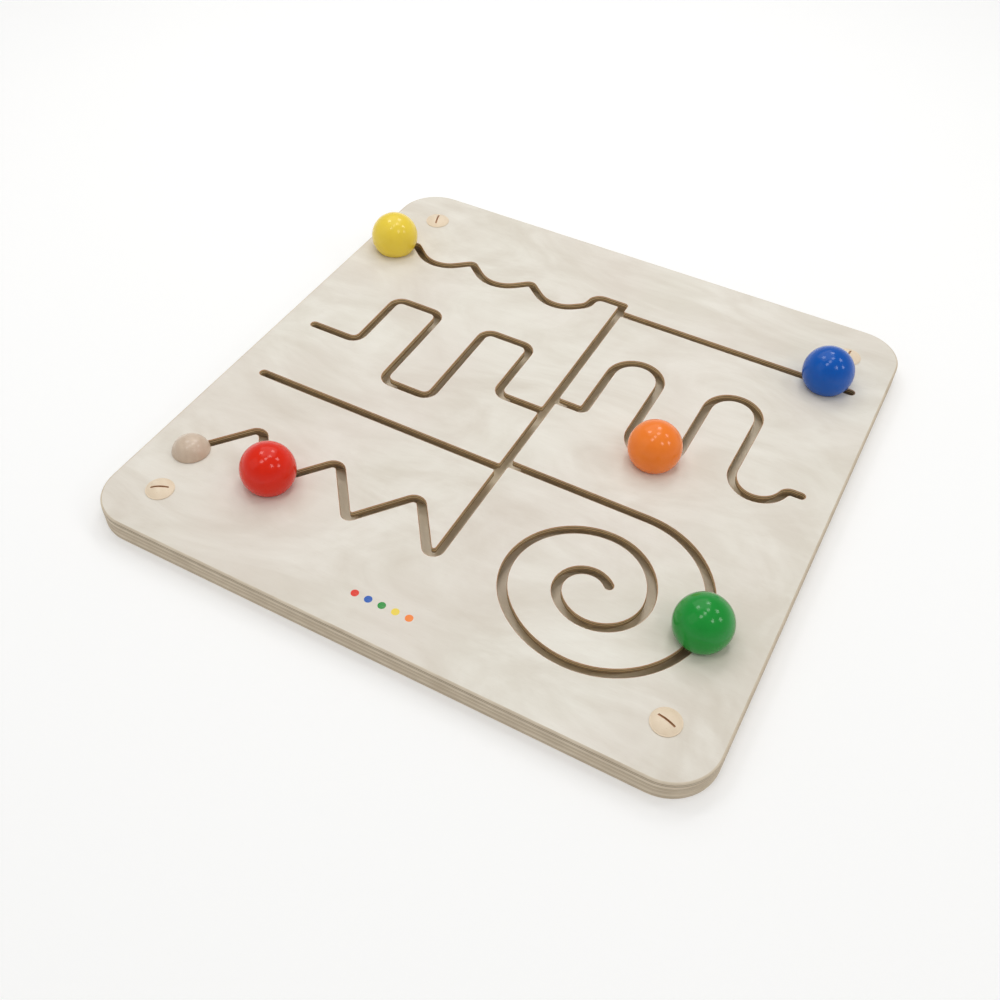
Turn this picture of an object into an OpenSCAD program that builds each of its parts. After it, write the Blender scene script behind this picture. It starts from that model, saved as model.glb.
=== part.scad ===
// Track maze panel: a plywood board with one connected set of grooves, in which five ball knobs slide.
// Origin: centre of the board's underside. +X runs along the near edge, +Y to the far edge, +Z up.

/* [Board] */
// Side of the square board
board_size = 380; // [376:0.5:384]
// Radius of the board's corners
corner_radius = 28; // [15:1:30]
// Thickness of the top plate
top_t = 4; // [3:0.5:5]
// Thickness of the track plate
track_t = 7; // [7:0.5:10]
// Thickness of the back plate
back_t = 4; // [3:0.5:6]

/* [Grooves] */
// Width of the groove in the top plate
slot_w = 5.3; // [5.2:0.1:5.4]
// Width of the channel in the track plate
channel_w = 14; // [13.6:0.1:15]
// Radius where one groove runs into another
junction_radius = 1.5; // [1:0.5:2]
// X of the long groove that joins all the others
spine_x = 6; // [5:0.5:7]
// Distance between the scallops
scallop_pitch = 47.4; // [47:0.2:48]
// Distance between the square meander's legs
meander_pitch = 35; // [34:0.5:35.5]
// Distance between the round wave's legs
wave_pitch = 33.4; // [33:0.2:33.6]
// Distance between the zigzag's points
zigzag_pitch = 56.1; // [56:0.1:56.2]
// Radius of the spiral's outer half turn
spiral_radius = 55.5; // [54:0.5:57]

/* [Knobs] */
// Diameter of the balls
ball_d = 33; // [32:0.5:34]
// Height of a ball's centre above its flat
ball_seat = 10.2; // [9:0.1:12]
// Diameter of the glide under the top plate
glide_d = 13; // [11:0.5:13]
// Thickness of the glide
glide_t = 3; // [2:0.5:3]
// Diameter of the sleeve in the groove
sleeve_d = 4.6; // [4.4:0.1:4.8]
// Diameter of the knob's screw
screw_d = 3; // [2.6:0.1:3.2]

/* [Plugs] */
// Distance of a corner cap's centre from the board's middle, along X and Y
cap_offset = 158; // [156:0.5:159]
// Diameter of a corner cap
cap_d = 17; // [16:0.5:19]
// Height of a corner cap above the board
cap_rise = 2.6; // [2:0.1:4]
// Diameter of the holes for the mounting screws
mount_d = 5; // [4:0.5:6]
// Diameter of the dome that plugs the entry hole
entry_d = 23.2; // [20:0.2:25]
// Height of that dome above the board
entry_rise = 9.6; // [8:0.2:10]

/* [Hidden] */
COLOURS = ["yellow", "blue", "orange", "green", "red"];

BIRCH = [0.86, 0.82, 0.75];
BIRCH_EDGE = [0.62, 0.54, 0.43];
BEECH = [0.84, 0.72, 0.58];
STEEL = [0.72, 0.72, 0.74];
NYLON = [0.93, 0.92, 0.88];
PAINT = [[0.87, 0.75, 0.2], [0.04, 0.3, 0.66], [0.98, 0.5, 0.2], [0.08, 0.58, 0.27], [0.87, 0.16, 0.1]];

// Heights of the layers
track_z = back_t;
plate_z = back_t + track_t;
top_z = plate_z + top_t;

// Gaps: between faces that slide, round a shaft that turns, and past a face that is cut through
slide_gap = 0.2;
shaft_gap = 0.07;
past = 1;
round_steps = 96;

// The most that a chord may stray from its arc, and the widest step round a small arc
chord_error = 0.06;
widest_step = 30;
// Half the width of the line that each channel is grown from
line_half = 0.5;

// Ends of the straight grooves on the left and on the right
left_end = -167.4;
right_end = 169.6;

// Long groove: its top, and the point and radius of its foot, where the zigzag joins it
spine_top = 133.8;
spine_foot = -130.2;
foot_radius = 4;

// Scallops: where they start, their points and hollows, and the last one's steeper way out
scallop_start = [-168.4, 112.1];
scallop_x = spine_x - 43.5;
scallop_high = 124.1;
scallop_low = 104.2;
scallop_point_radius = 2.7;
scallop_hollow_radius = 22;
scallop_rise = [[-16.2, 121.6, 9], [-14.6, spine_top, 7]];

// Square meander: X of its first leg, the level that it runs on, and its upper and lower levels
meander_x = spine_x - 139.5;
meander_y = 10.8;
meander_high = 62.1;
meander_low = -13.9;
meander_radius = 7;

// Round wave: X of its first leg, its entry, the centres of its turns, and its run out into a straight
wave_x = spine_x + 21;
wave_y = 23.8;
wave_entry_radius = 3;
wave_high = 65.7;
wave_low = 22.2;
wave_tail_radius = 5;
wave_tail_y = 20.9;

// Straight grooves, and the straight that leads into the spiral
left_straight_y = -46;
right_straight_y = 124.6;
spiral_straight_y = -40;
spiral_x = 98.5;
// Arcs of the spiral inside its outer half turn: each one's radius and sweep
SPIRAL_ARCS = [[61, 47], [40.6, 88], [44, 46], [36.7, 83], [26, 148], [14.7, 175]];

// Zigzag: X of its first low point, and the heights and radii of its points
zigzag_x = spine_x - 170.5;
zigzag_high = -88.2;
zigzag_low = -124;
zigzag_high_radius = 5;
zigzag_low_radius = 2.7;

// Knobs at rest: the distance along its stretch, its X, or its angle round the turn that it sits in
yellow_along = 1.6;
blue_x = 152.2;
orange_angle = -74;
green_angle = -5.4;
red_along = 3;

function unit(v) = v / norm(v);
function arc_steps(r, sweep) = ceil(abs(sweep) / min(widest_step, 2 * acos(1 - min(0.5, chord_error / r))));
// Points round an arc, counter-clockwise where the sweep is positive
function arc(centre, r, from, sweep) = let (n = arc_steps(r, sweep))
    [for (i = [0:n]) centre + r * [cos(from + sweep * i / n), sin(from + sweep * i / n)]];
// Corner b of the path a, b, c, rounded to radius r
function round_corner(a, b, c, r) = let (
        u = unit(a - b),
        v = unit(c - b),
        half = acos(u * v) / 2,
        centre = b + unit(u + v) * r / sin(half),
        start = b + u * r / tan(half) - centre
    ) arc(centre, r, atan2(start.y, start.x), sign(cross(b - a, c - b)) * (180 - 2 * half));
// A path of [x, y, radius] corners, with every corner rounded
function rounded(path) = let (p = [for (q = path) [q.x, q.y]], last = len(path) - 1)
    [p[0], for (i = [1:last - 1]) each round_corner(p[i - 1], p[i], p[i + 1], path[i].z), p[last]];
// A chain of clockwise arcs, each [radius, sweep], from a point and a heading
function clockwise(p, heading, arcs, i = 0) = i == len(arcs) ? [] : let (
        r = arcs[i][0],
        turned = heading - arcs[i][1],
        centre = p + r * [sin(heading), -cos(heading)]
    ) concat(
        arc(centre, r, heading + 90, -arcs[i][1]),
        clockwise(centre + r * [-sin(turned), cos(turned)], turned, arcs, i + 1)
    );
// The same points without those that repeat the one before
function apart(path) = [
    for (i = [0:len(path) - 1]) if (i == 0 || norm(path[i] - path[max(i - 1, 0)]) > 0.01) path[i]
];

zigzag_line = rounded([
    for (i = [0:5]) [
        zigzag_x + i * zigzag_pitch / 2,
        i % 2 == 0 ? zigzag_low : zigzag_high,
        i % 2 == 0 ? zigzag_low_radius : zigzag_high_radius
    ],
    [spine_x, spine_foot, foot_radius],
    [spine_x, spine_top]
]);

scallop_line = rounded([
    scallop_start,
    for (i = [3:-1:1]) each [
        [scallop_x - (i - 0.5) * scallop_pitch, scallop_high, scallop_point_radius],
        [scallop_x - (i - 1) * scallop_pitch, scallop_low, scallop_hollow_radius]
    ],
    each scallop_rise,
    [spine_x, spine_top]
]);

meander_line = rounded([
    [left_end, meander_y],
    [meander_x, meander_y, meander_radius],
    for (i = [0:3]) let (x = meander_x + i * meander_pitch) each [
        if (i > 0) [x, i % 2 == 0 ? meander_low : meander_high, meander_radius],
        if (i < 3) [x, i % 2 == 0 ? meander_high : meander_low, meander_radius]
    ],
    [meander_x + 3 * meander_pitch, meander_y, meander_radius],
    [spine_x, meander_y]
]);

wave_radius = wave_pitch / 2;
wave_turn = [wave_x + 3 * wave_radius, wave_low];
wave_last_turn = wave_turn + [4 * wave_radius, 0];
tail_turn = wave_radius + wave_tail_radius;
tail_angle = acos(1 - (wave_tail_y - wave_low + wave_radius) / tail_turn);
wave_line = apart([
    each rounded([[spine_x, wave_y], [wave_x, wave_y, wave_entry_radius], [wave_x, wave_high]]),
    each arc([wave_x + wave_radius, wave_high], wave_radius, 180, -180),
    each arc(wave_turn, wave_radius, 180, 180),
    each arc([wave_x + 5 * wave_radius, wave_high], wave_radius, 180, -180),
    each arc(wave_last_turn, wave_radius, 180, 90 + tail_angle),
    each arc([wave_last_turn.x + tail_turn * sin(tail_angle), wave_tail_y - wave_tail_radius],
        wave_tail_radius, 90 + tail_angle, -tail_angle),
    [right_end, wave_tail_y]
]);

spiral_line = apart([
    [spine_x, spiral_straight_y],
    each clockwise([spiral_x, spiral_straight_y], 0, [[spiral_radius, 180], each SPIRAL_ARCS])
]);

GROOVES = [
    zigzag_line,
    scallop_line,
    meander_line,
    wave_line,
    spiral_line,
    [[left_end, left_straight_y], [spine_x, left_straight_y]],
    [[spine_x, right_straight_y], [right_end, right_straight_y]]
];

// Direction along a path at one of its points
function along(path, i) = unit(path[min(i + 1, len(path) - 1)] - path[max(i - 1, 0)]);
// The side of a path at a distance to its left, with each corner mitred
function side(path, d) = [for (i = [0:len(path) - 1]) let (
        t = along(path, i),
        leg = unit(path[max(i, 1)] - path[max(i, 1) - 1])
    ) path[i] + [-t.y, t.x] * d / max(0.5, abs(t * leg))];
function reversed(list) = [for (i = [len(list) - 1:-1:0]) list[i]];
// Outline of a path of some half width, with round ends
function outline(path, half) = let (
        last = len(path) - 1,
        start = along(path, 0),
        end = along(path, last)
    ) apart([
        each side(path, half),
        each arc(path[last], half, atan2(end.y, end.x) + 90, -180),
        each reversed(side(path, -half)),
        each arc(path[0], half, atan2(start.y, start.x) - 90, -180)
    ]);

// Places of the knobs
spiral_turn = [spiral_x, spiral_straight_y - spiral_radius];
yellow_heading = unit([scallop_x - 2.5 * scallop_pitch, scallop_high] - scallop_start);
red_valley = [zigzag_x + zigzag_pitch, zigzag_low];
red_heading = unit([zigzag_pitch / 2, zigzag_high - zigzag_low]);
PLACES = [
    scallop_start + yellow_along * yellow_heading,
    [blue_x, right_straight_y],
    wave_turn + wave_radius * [cos(orange_angle), sin(orange_angle)],
    spiral_turn + spiral_radius * [cos(green_angle), sin(green_angle)],
    red_valley + red_along * red_heading
];

// Heights and sizes of a knob's pieces, from the bottom up
glide_top = plate_z - slide_gap;
head_top = glide_top - glide_t - slide_gap;
head_t = 2.2;
head_d = 6.4;
sleeve_z = plate_z;
ball_z = top_z + slide_gap;
pilot_depth = 10;
thread_bite = 0.15;
edge_break = 0.4;

// Wells under the corner caps, and the entry hole
well_d = 12.1;
well_z = track_z + 2;
cap_shank_d = 12;
cap_shank = 4.5;
cap_gap = 0.05;
cap_slot_w = 1.2;
cap_slot_depth = 1.6;
cap_slot_length = 10.6;
entry_place = zigzag_line[0] + [1.7, 0];
entry_hole_d = 14;
entry_shank_d = 13.9;
entry_shank = 3.8;
CAP_CORNERS = [[-1, 1], [1, 1], [-1, -1], [1, -1]];
CAP_TURNS = [107, 88, 30, -15];

module board(height) {
    inner = board_size / 2 - corner_radius;
    linear_extrude(height) difference() {
        square(board_size, center = true);
        for (x = [-1, 1], y = [-1, 1]) difference() {
            translate([x, y] * (inner + corner_radius)) square(corner_radius * 2, center = true);
            translate([x, y] * inner) circle(corner_radius, $fn = round_steps);
        }
    }
}

module at_corners() {
    for (c = CAP_CORNERS) translate(c * cap_offset) children();
}

// The grooves as they show, with rounded junctions
module slots() {
    offset(r = -junction_radius, $fn = round_steps / 2) offset(delta = junction_radius)
        for (path = GROOVES) polygon(outline(path, slot_w / 2));
}

// The wider channels below them, which the glides run in
module channels() {
    offset(delta = channel_w / 2 - line_half)
        for (path = GROOVES) polygon(outline(path, line_half));
}

module back_plate() {
    color(BIRCH_EDGE) difference() {
        board(back_t);
        translate([0, 0, -past]) at_corners() cylinder(d = mount_d, h = back_t + 2 * past, $fn = round_steps);
    }
}

module track_plate() {
    color(BIRCH_EDGE) translate([0, 0, track_z]) difference() {
        board(track_t);
        translate([0, 0, -past]) linear_extrude(track_t + 2 * past) channels();
        translate([0, 0, -past]) at_corners() cylinder(d = mount_d, h = track_t, $fn = round_steps);
        translate([0, 0, well_z - track_z]) at_corners() cylinder(d = well_d, h = track_t, $fn = round_steps);
    }
}

module top_plate() {
    color(BIRCH) translate([0, 0, plate_z]) difference() {
        board(top_t);
        translate([0, 0, -past]) linear_extrude(top_t + 2 * past) slots();
        translate([0, 0, -past]) {
            at_corners() cylinder(d = well_d, h = top_t + 2 * past, $fn = round_steps);
            translate(entry_place) cylinder(d = entry_hole_d, h = top_t + 2 * past, $fn = round_steps);
        }
    }
}

// Radius of the sphere that a dome of some width and rise is part of
function dome_radius(d, rise) = ((d / 2) ^ 2 + rise ^ 2) / (2 * rise);

// Dome on a flat base
module dome(d, rise) {
    radius = dome_radius(d, rise);
    intersection() {
        translate([0, 0, rise - radius]) sphere(radius, $fn = round_steps);
        cylinder(d = d + past, h = rise + past, $fn = round_steps);
    }
}

// Dome on a round shank
module entry_plug() {
    color(BEECH) translate([entry_place.x, entry_place.y, top_z]) {
        dome(entry_d, entry_rise);
        translate([0, 0, -entry_shank]) cylinder(d = entry_shank_d, h = entry_shank, $fn = round_steps);
    }
}

// Low dome on a round shank, with a slot for a coin
module cap(i) {
    radius = dome_radius(cap_d, cap_rise);
    chord = cap_slot_length / 2;
    chord_drop = radius - sqrt(radius ^ 2 - chord ^ 2);
    sag = cap_slot_depth - chord_drop;
    cutter_radius = (chord ^ 2 + sag ^ 2) / (2 * sag);
    color(BEECH) translate([CAP_CORNERS[i].x * cap_offset, CAP_CORNERS[i].y * cap_offset, top_z + cap_gap])
        rotate(CAP_TURNS[i]) difference() {
            union() {
                dome(cap_d, cap_rise);
                translate([0, 0, -cap_shank]) cylinder(d = cap_shank_d, h = cap_shank, $fn = round_steps);
            }
            translate([0, cap_slot_w / 2, cap_rise - cap_slot_depth + cutter_radius])
                rotate([90, 0, 0]) cylinder(r = cutter_radius, h = cap_slot_w, $fn = round_steps);
        }
}

module at_knob(i, z) {
    translate([PLACES[i].x, PLACES[i].y, z]) children();
}

// Ball with a flat underneath and a pilot hole for its screw
module ball(i) {
    color(PAINT[i]) at_knob(i, ball_z + ball_seat) difference() {
        sphere(d = ball_d, $fn = round_steps);
        translate([0, 0, -ball_seat - ball_d]) cube(ball_d * 2, center = true);
        translate([0, 0, -ball_seat - past])
            cylinder(r = screw_d / 2 - thread_bite, h = pilot_depth + past, $fn = round_steps / 2);
    }
}

module sleeve(i) {
    color(STEEL) at_knob(i, sleeve_z) difference() {
        cylinder(d = sleeve_d, h = ball_z - sleeve_z, $fn = round_steps / 2);
        translate([0, 0, -past])
            cylinder(r = screw_d / 2 + shaft_gap, h = top_t + 3 * past, $fn = round_steps / 2);
    }
}

// Disc with broken edges, which keeps the knob in its groove
module glide(i) {
    bore = screw_d / 2 + shaft_gap;
    rim = glide_d / 2;
    color(NYLON) at_knob(i, glide_top - glide_t) rotate_extrude($fn = round_steps) polygon([
        [bore, 0], [rim - edge_break, 0], [rim, edge_break],
        [rim, glide_t - edge_break], [rim - edge_break, glide_t], [bore, glide_t]
    ]);
}

// Pan-head screw with a cross recess
module screw(i) {
    recess = 1.2;
    recess_w = 0.9;
    recess_length = 3.6;
    color(STEEL) at_knob(i, head_top - head_t) difference() {
        union() {
            rotate_extrude($fn = round_steps / 2) polygon([
                [0, 0], [head_d / 2 - edge_break * 2, 0], [head_d / 2, edge_break * 2],
                [head_d / 2, head_t], [0, head_t]
            ]);
            cylinder(d = screw_d, h = ball_z + pilot_depth - past - head_top + head_t, $fn = round_steps / 2);
        }
        for (turn = [0, 90]) rotate(turn)
            translate([-recess_length / 2, -recess_w / 2, -past])
                cube([recess_length, recess_w, recess + past]);
    }
}

back_plate();
track_plate();
top_plate();
entry_plug();
cap(0);  // cap_back_left
cap(1);  // cap_back_right
cap(2);  // cap_front_left
cap(3);  // cap_front_right
for (i = [0:4]) {
    ball(i);
    sleeve(i);
    glide(i);
    screw(i);
}
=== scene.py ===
import math

import bpy
import numpy as np
from mathutils import Euler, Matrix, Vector, noise
from mathutils.geometry import delaunay_2d_cdt


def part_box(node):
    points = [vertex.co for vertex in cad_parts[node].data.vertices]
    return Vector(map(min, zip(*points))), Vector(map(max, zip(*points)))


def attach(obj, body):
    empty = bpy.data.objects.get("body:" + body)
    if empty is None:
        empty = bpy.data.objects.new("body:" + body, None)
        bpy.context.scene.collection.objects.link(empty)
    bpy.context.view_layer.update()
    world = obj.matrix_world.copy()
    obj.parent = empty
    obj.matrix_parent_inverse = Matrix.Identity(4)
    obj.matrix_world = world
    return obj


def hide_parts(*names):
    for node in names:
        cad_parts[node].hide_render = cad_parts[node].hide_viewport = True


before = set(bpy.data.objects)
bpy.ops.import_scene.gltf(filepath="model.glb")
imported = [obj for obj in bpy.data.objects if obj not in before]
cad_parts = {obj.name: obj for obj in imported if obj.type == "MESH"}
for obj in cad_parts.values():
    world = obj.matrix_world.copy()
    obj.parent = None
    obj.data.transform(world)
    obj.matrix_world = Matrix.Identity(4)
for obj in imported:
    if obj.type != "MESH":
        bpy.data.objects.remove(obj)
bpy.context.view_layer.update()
scene = bpy.context.scene
mm = 0.001

COLOURS = ["yellow", "blue", "orange", "green", "red"]
CORNERS = ["back_left", "back_right", "front_left", "front_right"]
# degrees that each cap's coin slot is turned from X
CAP_TURNS = [107, 88, 30, -15]
ROUND_STEPS = 96


# ---------------------------------------------------------------- shader nodes


def linear(red, green, blue):
    """A colour given as it looks on a screen, from 0 to 255, as the shader takes it."""
    parts = []
    for part in (red, green, blue):
        share = part / 255
        parts.append(share / 12.92 if share < 0.04045 else ((share + 0.055) / 1.055) ** 2.4)
    return (*parts, 1.0)


class Finish:
    """A material whose colour, roughness and bump come from procedural nodes."""

    def __init__(self, name):
        self.material = bpy.data.materials.new(name)
        self.material.use_nodes = True
        self.tree = self.material.node_tree
        self.shader = next(n for n in self.tree.nodes if n.type == "BSDF_PRINCIPLED")
        self.place = self.tree.nodes.new("ShaderNodeTexCoord").outputs["Object"]
        self.bumps = []

    def put(self, socket, value):
        if isinstance(value, bpy.types.NodeSocket):
            self.tree.links.new(value, socket)
        else:
            socket.default_value = value

    def stretched(self, scale, turn=(0, 0, 0), shift=(0, 0, 0)):
        node = self.tree.nodes.new("ShaderNodeMapping")
        self.put(node.inputs["Vector"], self.place)
        self.put(node.inputs["Location"], shift)
        self.put(node.inputs["Rotation"], turn)
        self.put(node.inputs["Scale"], scale)
        return node.outputs["Vector"]

    def clouds(self, where, scale=1.0, detail=4.0, rough=0.5, twist=0.0):
        node = self.tree.nodes.new("ShaderNodeTexNoise")
        self.put(node.inputs["Vector"], where)
        self.put(node.inputs["Scale"], scale)
        self.put(node.inputs["Detail"], detail)
        self.put(node.inputs["Roughness"], rough)
        self.put(node.inputs["Distortion"], twist)
        return node.outputs["Fac"]

    def sum(self, kind, first, second=0.0):
        node = self.tree.nodes.new("ShaderNodeMath")
        node.operation = kind
        for socket, value in zip(node.inputs, (first, second)):
            self.put(socket, value)
        return node.outputs[0]

    def spread(self, value, low, high, to_low=0.0, to_high=1.0):
        node = self.tree.nodes.new("ShaderNodeMapRange")
        node.clamp = True
        for socket, part in zip(node.inputs, (value, low, high, to_low, to_high)):
            self.put(socket, part)
        return node.outputs["Result"]

    def blend(self, share, first, second):
        node = self.tree.nodes.new("ShaderNodeMix")
        node.data_type = "RGBA"
        self.put(node.inputs[0], share)
        self.put(node.inputs[6], first)
        self.put(node.inputs[7], second)
        return node.outputs[2]

    def parts(self, vector):
        node = self.tree.nodes.new("ShaderNodeSeparateXYZ")
        self.put(node.inputs[0], vector)
        return node.outputs

    def facing(self):
        node = self.tree.nodes.new("ShaderNodeNewGeometry")
        return self.parts(node.outputs["Normal"])

    def bump(self, height, strength, depth):
        node = self.tree.nodes.new("ShaderNodeBump")
        self.put(node.inputs["Height"], height)
        self.put(node.inputs["Strength"], strength)
        self.put(node.inputs["Distance"], depth)
        if self.bumps:
            self.put(node.inputs["Normal"], self.bumps[-1])
        self.bumps.append(node.outputs["Normal"])

    def done(self, colour, rough, **fixed):
        self.put(self.shader.inputs["Base Color"], colour)
        self.put(self.shader.inputs["Roughness"], rough)
        if self.bumps:
            self.put(self.shader.inputs["Normal"], self.bumps[-1])
        for name, value in fixed.items():
            self.put(self.shader.inputs[name.replace("_", " ")], value)
        return self.material


def veneer(name, pale, deep):
    """A birch face: soft rotary-cut figure, fine fibres along X, short pores and handling marks."""
    f = Finish(name)
    figure = f.clouds(f.stretched((9, 17, 17)), 1, 4, 0.55, 2.6)
    streaks = f.clouds(f.stretched((12, 120, 120)), 1, 5, 0.6, 1.2)
    fibres = f.clouds(f.stretched((90, 2600, 2600)), 1, 2, 0.5)
    pores = f.clouds(f.stretched((260, 3400, 3400), shift=(3, 1, 0)), 1, 1, 0.5)
    patches = f.clouds(f.stretched((7, 9, 9), shift=(0.4, 0.7, 0)), 1, 4, 0.6, 1.5)
    blush = f.clouds(f.stretched((11, 8, 8), shift=(2.4, 0.1, 0)), 1, 2, 0.5)
    marks = f.clouds(f.stretched((120, 120, 120)), 1, 5, 0.7)
    shade = f.sum("ADD", f.spread(figure, 0.38, 0.62, 0, 0.46), f.spread(streaks, 0.35, 0.68, 0, 0.12))
    shade = f.sum("ADD", shade, f.spread(patches, 0.36, 0.64, 0, 0.42))
    colour = f.blend(shade, pale, deep)
    colour = f.blend(f.spread(blush, 0.4, 0.7, 0, 0.30), colour, linear(222, 208, 199))
    colour = f.blend(f.spread(pores, 0.70, 0.80, 0, 0.26), colour, linear(178, 156, 130))
    colour = f.blend(f.spread(fibres, 0.45, 0.75, 0, 0.08), colour, linear(200, 184, 162))
    rough = f.spread(marks, 0.3, 0.7, 0.40, 0.55)
    f.bump(fibres, 0.22, 0.00010)
    f.bump(pores, 0.12, 0.00012)
    return f.done(colour, rough, Coat_Weight=0.10, Coat_Roughness=0.35, Specular_IOR_Level=0.4)


def plies(f, sheets, line):
    """Per height: 1 in the plies whose grain runs along Y, 0 in the others, and 1 on a glue line."""
    height = f.parts(f.place)[2]
    fade = 0.06 * mm
    crossed = 0.0
    glue = 0.0
    for low, high, count in sheets:
        each = (high - low) / count
        for i in range(count):
            bottom = low + i * each
            if i % 2 == 1:
                off = f.sum("ABSOLUTE", f.sum("SUBTRACT", height, bottom + each / 2))
                crossed = f.sum("ADD", crossed, f.spread(off, each / 2 - fade, each / 2 + fade, 1, 0))
            if i > 0:
                off = f.sum("ABSOLUTE", f.sum("SUBTRACT", height, bottom))
                glue = f.sum("MAXIMUM", glue, f.spread(off, 0.3 * line, line, 1, 0))
    return crossed, glue


def ply_edge(name, long_grain, end_grain, glue_colour, grime, sheets, line, burn=0.0):
    """The sawn edge of plywood: plies seen along their fibres or end on, with glue lines between.

    The lines are strong in the top sheet and fainter below it. A burn darkens that sheet's rim, and
    painted shade darkens its foot.
    """
    f = Finish(name)
    crossed, glue = plies(f, sheets, line)
    sideways = f.facing()
    toward_x = f.sum("MULTIPLY", sideways[0], sideways[0])
    toward_y = f.sum("SUBTRACT", 1.0, toward_x)
    lengthwise = f.sum("SUBTRACT", 1.0, crossed)
    ends = f.sum("ADD", f.sum("MULTIPLY", crossed, toward_y), f.sum("MULTIPLY", lengthwise, toward_x))
    height = f.parts(f.place)[2]
    sheet_foot, sheet_face, _ = sheets[-1]
    fibres = f.clouds(f.stretched((120, 120, 5200)), 1, 4, 0.6)
    vessels = f.clouds(f.stretched((3600, 3600, 4200)), 1, 2, 0.6)
    drift = f.clouds(f.stretched((26, 26, 420)), 1, 4, 0.6)
    wander = f.clouds(f.stretched((70, 70, 160)), 1, 3, 0.6)
    along = f.blend(f.spread(fibres, 0.3, 0.7, 0, 1), long_grain, grime)
    along = f.blend(f.spread(drift, 0.3, 0.62, 0.55, 0.0), long_grain, along)
    endwise = f.blend(f.spread(vessels, 0.45, 0.7, 0, 0.75), end_grain, grime)
    colour = f.blend(ends, along, endwise)
    colour = f.blend(f.spread(wander, 0.38, 0.72, 0, 0.45), colour, grime)
    glue_share = f.sum("MULTIPLY", glue, f.spread(drift, 0.3, 0.6, 0.7, 1.0))
    strength = f.spread(height, sheet_foot - 2.5 * mm, sheet_foot, 0.3, 1.0)
    glue_share = f.sum("MULTIPLY", glue_share, strength)
    colour = f.blend(glue_share, colour, glue_colour)
    if burn:
        scorch = f.clouds(f.stretched((160, 160, 60)), 1, 4, 0.65)
        colour = f.blend(f.spread(scorch, 0.35, 0.7, 0, burn), colour, linear(150, 110, 76))
        rim = f.spread(height, sheet_face - 0.7 * mm, sheet_face - 0.15 * mm, 0, 0.75)
        colour = f.blend(rim, colour, linear(158, 92, 58))
        # painted shade: the top sheet darkens toward its foot, over the shaded channel beneath it
        above = f.spread(height, sheet_foot - 0.1 * mm, sheet_foot)
        painted_foot_shade = f.spread(height, sheet_foot + 0.5 * mm, sheet_foot + 1.3 * mm, 0.75, 0)
        colour = f.blend(f.sum("MULTIPLY", above, painted_foot_shade), colour, linear(96, 60, 36))
    rough = f.spread(vessels, 0.3, 0.7, 0.58, 0.8)
    f.bump(f.sum("SUBTRACT", f.sum("MULTIPLY", vessels, ends), glue), 0.5, 0.00012)
    f.bump(fibres, 0.25, 0.00006)
    return f.done(colour, rough, Specular_IOR_Level=0.3)


def turned_wood(name, pale, deep, pore, gloss, contrast, ring_scale):
    """Solid turned beech: growth rings cut through, short flecks, and a light clear coat."""
    f = Finish(name)
    lean = (0.35, 0.1, 0.6)
    bent = f.stretched((60, 60, 60), turn=(0.5, 0.3, 0.2))
    waves = f.tree.nodes.new("ShaderNodeTexWave")
    waves.wave_type = "BANDS"
    waves.bands_direction = "Y"
    f.put(waves.inputs["Vector"], f.stretched((1, 1, 1), turn=lean))
    f.put(waves.inputs["Scale"], ring_scale)
    f.put(waves.inputs["Distortion"], 3.5)
    f.put(waves.inputs["Detail"], 4.0)
    f.put(waves.inputs["Detail Scale"], 0.6)
    rings = waves.outputs["Fac"]
    drift = f.clouds(bent, 1, 4, 0.6)
    flecks = f.clouds(f.stretched((700, 3200, 3200), turn=lean), 1, 2, 0.6)
    colour = f.blend(f.spread(rings, 0.2, 0.9, 0, contrast), pale, deep)
    colour = f.blend(f.spread(drift, 0.35, 0.7, 0, 0.5), colour, deep)
    colour = f.blend(f.spread(flecks, 0.60, 0.72, 0, 0.4), colour, pore)
    rough = f.spread(drift, 0.3, 0.7, 0.36, 0.5)
    f.bump(flecks, 0.18, 0.00008)
    f.bump(rings, 0.10, 0.00006)
    return f.done(colour, rough, Coat_Weight=gloss, Coat_Roughness=0.14)


def lacquer(name, colour, deep, worn):
    """Thick gloss lacquer over turned wood: orange peel, faint grain showing through, tiny scuffs."""
    f = Finish(name)
    drift = f.clouds(f.stretched((70, 70, 70)), 1, 3, 0.5)
    grain = f.clouds(f.stretched((160, 1500, 1500), turn=(0.4, 0.2, 0.3)), 1, 4, 0.6)
    peel = f.clouds(f.stretched((620, 620, 620)), 1, 2, 0.4)
    scuffs = f.clouds(f.stretched((2300, 500, 900), turn=(0.9, 0.4, 0.1)), 1, 3, 0.7)
    tint = f.blend(f.spread(drift, 0.3, 0.7, 0, 0.55), colour, deep)
    tint = f.blend(f.spread(grain, 0.55, 0.8, 0, 0.25), tint, deep)
    tint = f.blend(f.spread(scuffs, 0.72, 0.8, 0, 0.45), tint, worn)
    rough = f.spread(scuffs, 0.6, 0.8, 0.24, 0.42)
    f.bump(peel, 0.05, 0.00010)
    f.bump(grain, 0.035, 0.00010)
    return f.done(tint, rough, Coat_Weight=0.52, Coat_Roughness=0.10, Specular_IOR_Level=0.08)


def plain_metal(name):
    """Zinc-plated steel: bright, brushed round the turning axis, with dull spots."""
    f = Finish(name)
    brushed = f.clouds(f.stretched((300, 300, 9000)), 1, 3, 0.6)
    spots = f.clouds(f.stretched((900, 900, 900)), 1, 4, 0.7)
    colour = f.blend(f.spread(spots, 0.35, 0.7), linear(196, 198, 196), linear(150, 152, 156))
    rough = f.spread(spots, 0.3, 0.7, 0.25, 0.5)
    f.bump(brushed, 0.2, 0.00004)
    return f.done(colour, rough, Metallic=1.0)


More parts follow.
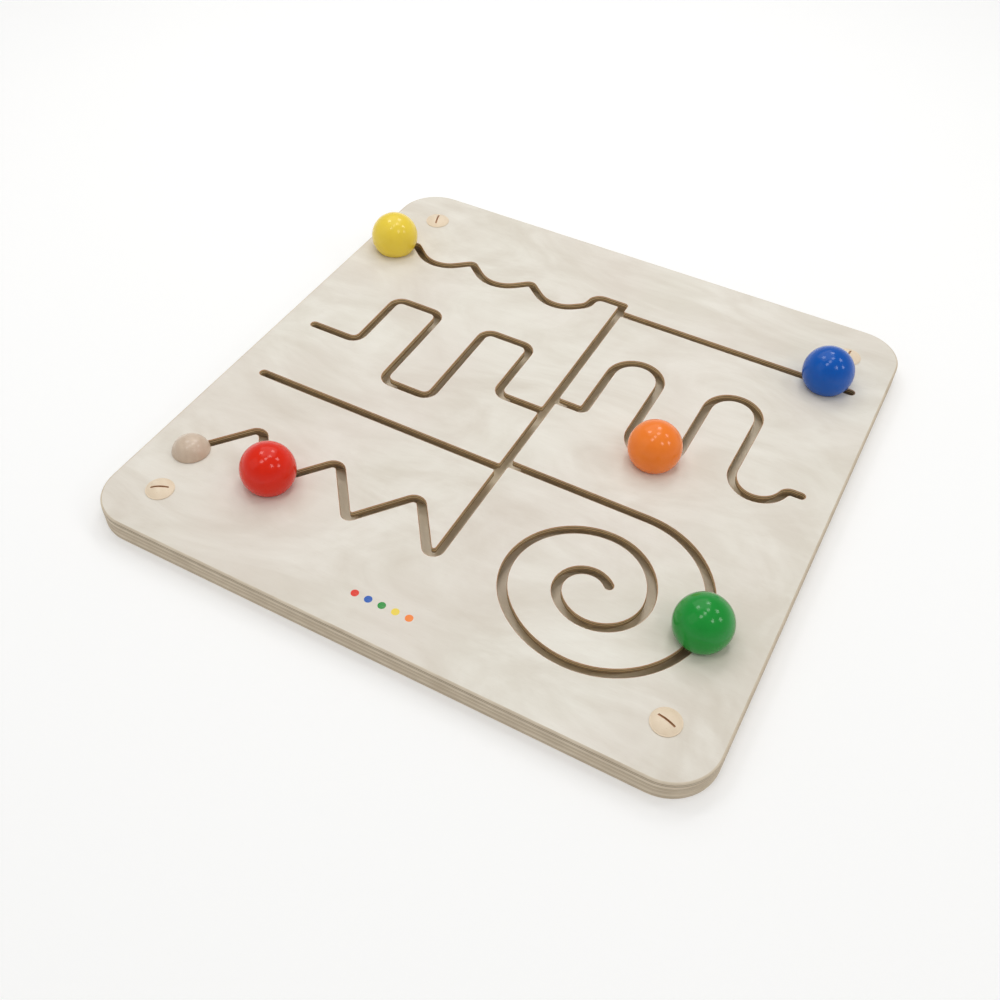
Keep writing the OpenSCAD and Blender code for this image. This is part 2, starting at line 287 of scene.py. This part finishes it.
def moulded(name, colour, deep):
    """Moulded nylon: slightly translucent white with a fine spark-eroded texture."""
    f = Finish(name)
    grit = f.clouds(f.stretched((2400, 2400, 2400)), 1, 3, 0.6)
    flow = f.clouds(f.stretched((160, 160, 60)), 1, 3, 0.5, 0.8)
    tint = f.blend(f.spread(flow, 0.3, 0.7), colour, deep)
    rough = f.spread(grit, 0.3, 0.7, 0.34, 0.5)
    f.bump(grit, 0.12, 0.00005)
    return f.done(tint, rough, Subsurface_Weight=0.08)


def ink(name, colour):
    """Screen-printed ink: slightly uneven cover over the veneer's fibres."""
    f = Finish(name)
    fibres = f.clouds(f.stretched((90, 2600, 2600)), 1, 3, 0.6)
    thin = f.spread(fibres, 0.5, 0.8, 0, 0.35)
    tint = f.blend(thin, colour, linear(205, 192, 172))
    f.bump(fibres, 0.2, 0.00006)
    return f.done(tint, f.spread(fibres, 0.3, 0.7, 0.4, 0.55))


# ---------------------------------------------------------------- mesh making


class Mesh:
    """Points and faces gathered piece by piece, then turned into one object."""

    def __init__(self):
        self.points = []
        self.faces = []
        self.kinds = []
        self.soft = []

    def ring(self, flat, heights):
        """Adds a ring of points and returns their numbers."""
        first = len(self.points)
        heights = np.broadcast_to(heights, len(flat))
        self.points += [(x, y, z) for (x, y), z in zip(flat, heights)]
        return list(range(first, len(self.points)))

    def face(self, ids, kind=0, soft=True):
        self.faces.append(ids)
        self.kinds.append(kind)
        self.soft.append(soft)

    def band(self, upper, lower, kind=0):
        """Joins two rings of the same length with quads that look away from the solid."""
        count = len(upper)
        for i in range(count):
            j = (i + 1) % count
            self.face((upper[i], lower[i], lower[j], upper[j]), kind)

    def fan(self, ring, tip, kind=0):
        count = len(ring)
        for i in range(count):
            self.face((tip, ring[i], ring[(i + 1) % count]), kind)

    def sheet(self, rings, extra=(), up=True, kind=0, soft=False):
        """Fills the region that the rings bound as seen from above, using the extra points in it."""
        ids = [i for ring in rings for i in ring] + list(extra)
        place = {number: at for at, number in enumerate(ids)}
        flat = [Vector(self.points[i][:2]) for i in ids]
        edges = [(place[a], place[b]) for ring in rings for a, b in zip(ring, ring[1:] + ring[:1])]
        found, _, faces, origin, _, _ = delaunay_2d_cdt(flat, edges, [], 0, 1e-8)
        numbers = []
        for point, came in zip(found, origin):
            if came:
                numbers.append(ids[came[0]])
            else:
                self.points.append((point.x, point.y, self.points[ids[0]][2]))
                numbers.append(len(self.points) - 1)
        ends = np.array([[flat[a][:], flat[b][:]] for a, b in edges])
        for face in faces:
            middle = sum((found[i] for i in face), Vector((0, 0))) / len(face)
            if inside(middle, ends):
                corners = tuple(numbers[i] for i in face)
                self.face(corners if up else corners[::-1], kind, soft)

    def build(self, name, materials, body, at=(0, 0, 0)):
        mesh = bpy.data.meshes.new(name)
        mesh.from_pydata(self.points, [], self.faces)
        for material in materials:
            mesh.materials.append(material)
        mesh.polygons.foreach_set("material_index", self.kinds)
        mesh.polygons.foreach_set("use_smooth", self.soft)
        mesh.update()
        piece = bpy.data.objects.new(name, mesh)
        piece.location = at
        scene.collection.objects.link(piece)
        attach(piece, body)
        return piece


def inside(point, ends):
    """Whether a point lies inside the region that the edges bound, by counting crossings."""
    a, b = ends[:, 0], ends[:, 1]
    over = (a[:, 1] > point.y) != (b[:, 1] > point.y)
    a, b = a[over], b[over]
    cross = a[:, 0] + (point.y - a[:, 1]) * (b[:, 0] - a[:, 0]) / (b[:, 1] - a[:, 1])
    return np.count_nonzero(cross > point.x) % 2 == 1


def outlines(node, height):
    """The closed outlines of a CAD node's flat face at a height, with the solid on the left."""
    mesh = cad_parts[node].data
    edges = set()
    for face in mesh.polygons:
        corners = [mesh.vertices[i].co for i in face.vertices]
        if any(abs(corner.z - height) > 1e-6 for corner in corners):
            continue
        ring = [(round(c.x, 6), round(c.y, 6)) for c in corners]
        if face.normal.z < 0:
            ring.reverse()
        for a, b in zip(ring, ring[1:] + ring[:1]):
            if (b, a) in edges:
                edges.remove((b, a))
            elif a != b:
                edges.add((a, b))
    after = dict(sorted(edges))
    loops = []
    while after:
        here = min(after)
        loop = []
        while here in after:
            loop.append(here)
            here = after.pop(here)
        loops.append(thinned(np.array(loop)))
    return sorted(loops, key=lambda loop: -abs(area(loop)))


def thinned(loop, least=0.09 * mm):
    """The outline without points that crowd together."""
    kept = [loop[0]]
    for point in loop[1:]:
        if np.linalg.norm(point - kept[-1]) > least:
            kept.append(point)
    if np.linalg.norm(kept[-1] - kept[0]) < least:
        kept.pop()
    return np.array(kept)


def area(loop):
    """The area inside an outline, negative where it runs clockwise."""
    x, y = loop[:, 0], loop[:, 1]
    return (x * np.roll(y, -1) - np.roll(x, -1) * y).sum() / 2


def inset(loop, distance):
    """The outline moved into the solid by a distance."""
    step = np.roll(loop, -1, 0) - loop
    step = step / np.linalg.norm(step, axis=1)[:, None]
    left = np.stack([-step[:, 1], step[:, 0]], 1)
    before = np.roll(left, 1, 0)
    share = np.maximum(1 + (left * before).sum(1), 0.5)
    return loop + distance * (left + before) / share[:, None]


def subdivided(loop, longest):
    """The outline with extra points on its long straight runs."""
    points = []
    for a, b in zip(loop, np.roll(loop, -1, 0)):
        count = max(1, math.ceil(np.linalg.norm(b - a) / longest))
        points += [a + (b - a) * i / count for i in range(count)]
    return np.array(points)


def rounding(radius, steps, top, upward=True):
    """Inset and height down a rounded edge, from the face to the wall."""
    rows = []
    for i in range(steps + 1):
        angle = math.pi / 2 * i / steps
        drop = radius * (1 - math.cos(angle))
        rows.append((radius * (1 - math.sin(angle)), top - drop if upward else top + drop))
    return rows


def ply_wall(low, high, count, groove):
    """Inset and height down a wall of plies, with a fine groove at each glue line."""
    each = (high - low) / count
    lip = 0.16 * mm
    rows = []
    for i in range(1, count):
        line = high - i * each
        rows += [(0, line + lip), (groove, line), (0, line - lip)]
    return rows


def panel(name, node, low, high, count, outer_edges, slot_edge, materials):
    """A plywood panel with rounded edges and relief on its ply lines.

    It takes the outlines of the CAD node's lower face all the way up. The track plate's wells are wider
    than the mounting holes in that face, so they are missing, and the caps' shanks cut into the panel.
    The edges are the radii at the top and foot of the outer edge, and at the top of the openings.
    """
    mesh = Mesh()
    tops, feet = [], []
    for at, loop in enumerate(outlines(node, low)):
        outer = at == 0
        top_r, foot_r = outer_edges if outer else (slot_edge, 0.05 * mm)
        loop = subdivided(loop, 12 * mm if outer else 8 * mm)
        rows = rounding(top_r, 5 if outer else 4, high)
        rows += ply_wall(low, high, count, 0.07 * mm if outer else 0.03 * mm)
        rows += rounding(foot_r, 4, low, upward=False)[::-1]
        rings = [mesh.ring(inset(loop, shift), height) for shift, height in rows]
        kind = 1 if outer else 2
        for upper, lower in zip(rings, rings[1:]):
            mesh.band(upper, lower, kind)
        tops.append(rings[0])
        feet.append(rings[-1])
    mesh.sheet(tops, up=True, kind=0)
    mesh.sheet(feet, up=False, kind=3)
    piece = mesh.build(name, materials, "board")
    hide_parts(node)


def around(count):
    """Angles all the way round, in equal steps."""
    return [2 * math.pi * i / count for i in range(count)]


def turned(mesh, rows, count):
    """A lathe shape about Z from (radius, height) rows, top to bottom; a zero radius is a tip."""
    turns = [(math.cos(angle), math.sin(angle)) for angle in around(count)]
    before = None
    for radius, height in rows:
        if radius < 1e-9:
            mesh.points.append((0, 0, height))
            here = len(mesh.points) - 1
        else:
            here = mesh.ring([(radius * c, radius * s) for c, s in turns], height)
        if before is not None:
            if isinstance(before, int):
                mesh.fan(here, before)
            elif isinstance(here, int):
                mesh.fan(before[::-1], here)
            else:
                mesh.band(before, here)
        before = here


def arc_rows(radius, start, end, steps):
    """(radius, height) rows along an arc about the origin, angles in degrees up from level."""
    rows = []
    for i in range(steps + 1):
        angle = math.radians(start + (end - start) * i / steps)
        rows.append((radius * math.cos(angle), radius * math.sin(angle)))
    return rows


# ---------------------------------------------------------------- the board

back_low, back_high = [corner.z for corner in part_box("back_plate")]
track_low, track_high = [corner.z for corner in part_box("track_plate")]
top_low, top_high = [corner.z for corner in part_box("top_plate")]
sheets = [(back_low, back_high, 3), (track_low, track_high, 5), (top_low, top_high, 3)]

face_veneer = veneer("birch_face", linear(236, 232, 221), linear(214, 206, 191))
back_veneer = veneer("birch_back", linear(224, 216, 203), linear(203, 190, 171))
board_edge = ply_edge(
    "birch_ply_edge",
    linear(218, 205, 184),
    linear(203, 186, 161),
    linear(84, 66, 48),
    linear(176, 159, 135),
    sheets,
    0.24 * mm,
)
# the slot walls take paler copies of the edge's ply colours: painted light in the dim grooves; the burn
# adds painted shade at the top sheet's foot
slot_edge = ply_edge(
    "slot_wall_painted_light_and_shade",
    linear(253, 233, 190),
    linear(250, 218, 161),
    linear(54, 28, 12),
    linear(226, 196, 152),
    sheets,
    0.36 * mm,
    burn=0.2,
)
# the inner faces are paler than the face veneer: painted light on the channel floors seen through the
# slots
inner_painted_light = veneer("birch_inner_painted_light", linear(250, 240, 218), linear(238, 222, 194))

panel(
    "panel_back", "back_plate", back_low, back_high, 3, (0.12 * mm, 1.0 * mm), 0.2 * mm,
    [inner_painted_light, board_edge, board_edge, back_veneer],
)
panel(
    "panel_core", "track_plate", track_low, track_high, 5, (0.12 * mm, 0.12 * mm), 0.2 * mm,
    [inner_painted_light, board_edge, board_edge, inner_painted_light],
)
panel(
    "panel_top", "top_plate", top_low, top_high, 3, (1.1 * mm, 0.12 * mm), 0.32 * mm,
    [face_veneer, board_edge, slot_edge, inner_painted_light],
)


# ---------------------------------------------------------------- balls, plug and caps


ball_colours = {
    "yellow": (linear(242, 214, 74), linear(234, 200, 58), linear(246, 228, 140)),
    "blue": (linear(0, 88, 182), linear(0, 76, 164), linear(50, 116, 190)),
    "orange": (linear(250, 134, 46), linear(242, 120, 34), linear(252, 170, 110)),
    "green": (linear(24, 148, 54), linear(16, 132, 44), linear(80, 170, 100)),
    "red": (linear(228, 38, 6), linear(214, 26, 2), linear(236, 100, 80)),
}


def ball(number, colour):
    """A turned, lacquered ball with a flat foot, a screw hole in it and a slightly uneven skin."""
    low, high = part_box(f"{colour}_ball")
    skin = 0.03 * mm
    foot_break = 0.35 * mm
    hole, hole_deep = 1.6 * mm, 6 * mm
    radius = (high.x - low.x) / 2 - skin
    centre = Vector(((low.x + high.x) / 2, (low.y + high.y) / 2, high.z - (high.x - low.x) / 2))
    foot = low.z - centre.z
    flat = math.sqrt(radius**2 - (foot + foot_break) ** 2)
    turn_down = math.degrees(math.atan2(foot + foot_break, flat))
    rows = [(0, radius)] + arc_rows(radius, 89, turn_down, 64)
    rows += [
        (flat - 0.12 * mm, foot + 0.14 * mm),
        (flat - 0.45 * mm, foot + 0.02 * mm),
        (flat - 0.8 * mm, foot),
        (hole + 1.0 * mm, foot),
        (hole + 0.3 * mm, foot + 0.25 * mm),
        (hole, foot + 0.8 * mm),
        (hole, foot + hole_deep),
        (0, foot + hole_deep + 0.4 * mm),
    ]
    mesh = Mesh()
    turned(mesh, rows, ROUND_STEPS)
    points = []
    for point in map(Vector, mesh.points):
        if point.length > 0.7 * radius:
            wobble = noise.noise(point * 70 + Vector((number * 7.3, 0, 0))) * 0.05 * mm
            point = point * (1 + (wobble - skin) / radius)
        points.append(tuple(point))
    mesh.points = points
    finish = lacquer(f"{colour}_gloss", *ball_colours[colour])
    piece = mesh.build(f"{colour}_knob_ball", [finish], f"{colour}_knob", centre)
    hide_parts(f"{colour}_ball")


for number, colour in enumerate(COLOURS):
    ball(number, colour)

nylon_clear = moulded("nylon_moulded", linear(232, 230, 222), linear(214, 210, 200))
zinc = plain_metal("zinc_plated")
for colour in COLOURS:
    for part, finish in (("sleeve", zinc), ("glide", nylon_clear), ("screw", zinc)):
        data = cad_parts[f"{colour}_{part}"].data
        data.materials.clear()
        data.materials.append(finish)


def plug():
    """The fixed wooden dome over the entry hole, with a shank that goes down into it."""
    low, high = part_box("entry_plug")
    middle = Vector(((low.x + high.x) / 2, (low.y + high.y) / 2, 0))
    radius = (high.x - low.x) / 2
    rise = high.z - top_high
    dome_r = (radius**2 + rise**2) / (2 * rise)
    crown = high.z - 0.02 * mm
    shank, shank_end = 6.9 * mm, top_high - 3.7 * mm
    steps = 40
    sweep = math.acos((dome_r - rise + 0.7 * mm) / dome_r)
    rows = [(0, crown)]
    for i in range(1, steps + 1):
        angle = sweep * i / steps
        rows.append((dome_r * math.sin(angle), crown - dome_r * (1 - math.cos(angle))))
    rows += [
        (radius - 0.12 * mm, top_high + 0.4 * mm),
        (radius - 0.3 * mm, top_high + 0.14 * mm),
        (radius - 0.8 * mm, top_high + 0.03 * mm),
        (shank, top_high + 0.03 * mm),
        (shank, shank_end),
        (0, shank_end),
    ]
    mesh = Mesh()
    turned(mesh, rows, ROUND_STEPS)
    pale, deep, pore = linear(214, 194, 172), linear(184, 158, 134), linear(160, 130, 104)
    finish = turned_wood("plug_wood", pale, deep, pore, 0.6, 0.10, 90)
    piece = mesh.build("start_plug", [finish], "board", middle)
    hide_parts("entry_plug")


plug()


def cap(corner, turn, finish, cut):
    """A domed wooden button with a worn rim and a coin slot, in the CAD cap's own size."""
    node = f"cap_{corner}"
    low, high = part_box(node)
    centre = Vector(((low.x + high.x) / 2, (low.y + high.y) / 2, 0))
    wide = (high.x - low.x) / 2
    base = top_high + 0.05 * mm
    rise = high.z - base
    dome_r = (wide**2 + rise**2) / (2 * rise)

    def dome(x, y):
        return high.z - dome_r + math.sqrt(dome_r**2 - x * x - y * y) - 0.01 * mm

    mesh = Mesh()
    half_long, half_wide, deep, corner_r = 5.3 * mm, 0.6 * mm, 1.6 * mm, 0.45 * mm
    corner_steps = 6
    shape = []
    for quarter, (sx, sy) in enumerate(((1, 1), (-1, 1), (-1, -1), (1, -1))):
        for i in range(corner_steps + 1):
            angle = math.radians(90 * (quarter + i / corner_steps))
            x = sx * (half_long - corner_r) + corner_r * math.cos(angle)
            y = sy * (half_wide - corner_r) + corner_r * math.sin(angle)
            shape.append((x, y))
    c, s = math.cos(math.radians(turn)), math.sin(math.radians(turn))
    shape = subdivided(np.array(shape), 0.6 * mm)
    hole = np.array([(x * c - y * s, x * s + y * c) for x, y in shape])[::-1]
    rings = []
    for shift, drop in rounding(0.16 * mm, 3, 0):
        flat = inset(hole, shift)
        rings.append(mesh.ring(flat, [dome(x, y) + drop for x, y in flat]))
    floor_z = high.z - deep
    for depth in (0.45, 0.75, 1.0):
        rings.append(mesh.ring(hole, [dome(x, y) * (1 - depth) + floor_z * depth for x, y in hole]))
    # the slot's lower walls and floor take the darker slot wood: painted shade in the narrow cut
    for at, (upper, lower) in enumerate(zip(rings, rings[1:])):
        mesh.band(upper, lower, 0 if at < 2 else 1)
    mesh.sheet([rings[-1][::-1]], up=True, kind=1)

    turns = [(math.cos(angle), math.sin(angle)) for angle in around(ROUND_STEPS)]
    rim = wide - 0.28 * mm
    edge = mesh.ring([(rim * a, rim * b) for a, b in turns], dome(rim, 0))
    extra = []
    limits = np.array([[hole[i], hole[(i + 1) % len(hole)]] for i in range(len(hole))])
    circles = 15
    for ring in range(1, circles):
        radius = rim * ring / circles
        steps = max(8, int(ROUND_STEPS * ring / circles))
        for i in range(steps):
            angle = 2 * math.pi * (i + 0.5 * (ring % 2)) / steps
            x, y = radius * math.cos(angle), radius * math.sin(angle)
            gap = np.min(np.linalg.norm(hole - np.array((x, y)), axis=1))
            if gap > 0.35 * mm and not inside(Vector((x, y)), limits):
                mesh.points.append((x, y, dome(x, y)))
                extra.append(len(mesh.points) - 1)
    mesh.sheet([edge, rings[0]], extra, up=True, kind=0, soft=True)
    shank = 6 * mm
    tail = low.z + 0.01 * mm
    rows = [
        (wide - 0.10 * mm, base + 0.42 * mm),
        (wide - 0.02 * mm, base + 0.28 * mm),
        (wide - 0.06 * mm, base + 0.10 * mm),
        (wide - 0.30 * mm, base + 0.01 * mm),
        (shank + 0.2 * mm, base + 0.01 * mm),
        (shank, base - 0.2 * mm),
        (shank, low.z + 0.5 * mm),
        (shank - 0.5 * mm, tail),
    ]
    before = edge
    for radius, height in rows:
        here = mesh.ring([(radius * a, radius * b) for a, b in turns], height)
        mesh.band(before, here)
        before = here
    mesh.points.append((0, 0, tail))
    mesh.fan(before[::-1], len(mesh.points) - 1)
    piece = mesh.build(f"cap_{corner}_button", [finish, cut], f"cap_{corner}", centre)
    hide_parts(node)


cap_wood = turned_wood(
    "cap_wood", linear(236, 218, 192), linear(226, 204, 174), linear(206, 178, 146), 0.1, 0.25, 60,
)
# the darker wood in the caps' coin slots is painted shade
slot_painted_shade = turned_wood(
    "cap_slot_painted_shade", linear(196, 152, 114), linear(174, 130, 94), linear(146, 104, 74), 0.0, 0.3, 60,
)
for corner, turn in zip(CORNERS, CAP_TURNS):
    cap(corner, turn, cap_wood, slot_painted_shade)


def dots(order, radius, spacing, middle):
    """A row of small printed dots near the front edge."""
    film = 0.045 * mm
    rows = [(0, film), (radius - 0.3 * mm, film), (radius - 0.1 * mm, film - 0.01 * mm), (radius, 0.0)]
    for at, colour in enumerate(order):
        mesh = Mesh()
        turned(mesh, rows, 40)
        place = middle + Vector(((at - (len(order) - 1) / 2) * spacing, 0, 0))
        mesh.build(f"mark_{colour}", [ink(f"{colour}_ink", ball_colours[colour][0])], "board", place)


dots_middle = Vector((-1.5 * mm, -166 * mm, top_high))
dots(["red", "blue", "green", "yellow", "orange"], 2.3 * mm, 8.5 * mm, dots_middle)


# ---------------------------------------------------------------- floor, light and camera

floor_mesh = bpy.data.meshes.new("floor")
wide = 12.0
corners = [(-wide, -wide, 0), (wide, -wide, 0), (wide, wide, 0), (-wide, wide, 0)]
floor_mesh.from_pydata(corners, [], [(0, 1, 2, 3)])
floor = bpy.data.objects.new("floor", floor_mesh)
floor.location.z = back_low - 0.05 * mm
scene.collection.objects.link(floor)
paper = Finish("floor_paper")
tooth = paper.clouds(paper.stretched((900, 900, 900)), 1, 3, 0.6)
paper.bump(tooth, 0.05, 0.0001)
tone = paper.blend(paper.spread(tooth, 0.3, 0.7), linear(225, 225, 224), linear(221, 221, 220))
glow = {"Emission_Color": (1, 1, 1, 1), "Emission_Strength": 0.27}
floor_mesh.materials.append(paper.done(tone, 0.9, Specular_IOR_Level=0.05, **glow))

# the studio's light falls off from the horizon upward
world = bpy.data.worlds.new("studio")
scene.world = world
world.use_nodes = True
nodes, links = world.node_tree.nodes, world.node_tree.links
backdrop = nodes["Background"]
backdrop.inputs["Color"].default_value = (1.0, 0.995, 0.985, 1)
ways = nodes.new("ShaderNodeTexCoord")
heights = nodes.new("ShaderNodeSeparateXYZ")
links.new(ways.outputs["Generated"], heights.inputs["Vector"])
falling = nodes.new("ShaderNodeMapRange")
links.new(heights.outputs["Z"], falling.inputs["Value"])
for name, value in (("From Min", 0.05), ("From Max", 0.5), ("To Min", 0.72), ("To Max", 0.35)):
    falling.inputs[name].default_value = value
links.new(falling.outputs["Result"], backdrop.inputs["Strength"])

aim = Vector((0.0, 0.0, 0.02))


def panel_light(name, toward, distance, size, power):
    """A rectangular studio light in a direction from the board's middle, facing it."""
    data = bpy.data.lights.new(name, "AREA")
    data.shape = "RECTANGLE"
    data.size, data.size_y = size
    data.energy = power
    lamp = bpy.data.objects.new(name, data)
    direction = Vector(toward).normalized()
    lamp.location = aim + direction * distance
    lamp.rotation_euler = direction.to_track_quat("Z", "Y").to_euler()
    scene.collection.objects.link(lamp)


panel_light("overhead", (-0.35, 0.5, 1.0), 0.95, (0.9, 0.9), 2.4)
panel_light("left_fill", (-0.7, -0.7, 0.8), 2.0, (1.2, 1.2), 2)

# each ceiling lamp stands where a ball mirrors it to the camera; its glint's place on the ball is
# given to the right and up of the ball's middle, as shares of its radius
spots = [
    (-0.20, 0.52),
    (0.16, 0.62),
    (-0.14, 0.22),
    (0.38, 0.34),
    (0.10, 0.42),
    (0.44, 0.10),
    (0.20, 0.08),
    (-0.02, 0.32),
]
camera_turn = Euler((math.radians(42.18), math.radians(-1.29), math.radians(28.29)), "XYZ")
eye = camera_turn.to_matrix()
across, upward, toward = eye.col[0], eye.col[1], eye.col[2]
for i, (right, up) in enumerate(spots):
    normal = across * right + upward * up + toward * math.sqrt(1 - right * right - up * up)
    glint = 2 * normal.dot(toward) * normal - toward
    panel_light(f"ceiling_lamp_{i + 1}", glint, 2.6, (0.46, 0.5), 4.1)

lens = bpy.data.cameras.new("camera")
lens.sensor_width = 36
lens.lens = 39.02
lens.clip_start = 0.01
camera = bpy.data.objects.new("camera", lens)
camera.location = (0.2079, -0.4447, 0.4800)
camera.rotation_euler = camera_turn
scene.collection.objects.link(camera)
scene.camera = camera

scene.view_settings.view_transform = "Standard"
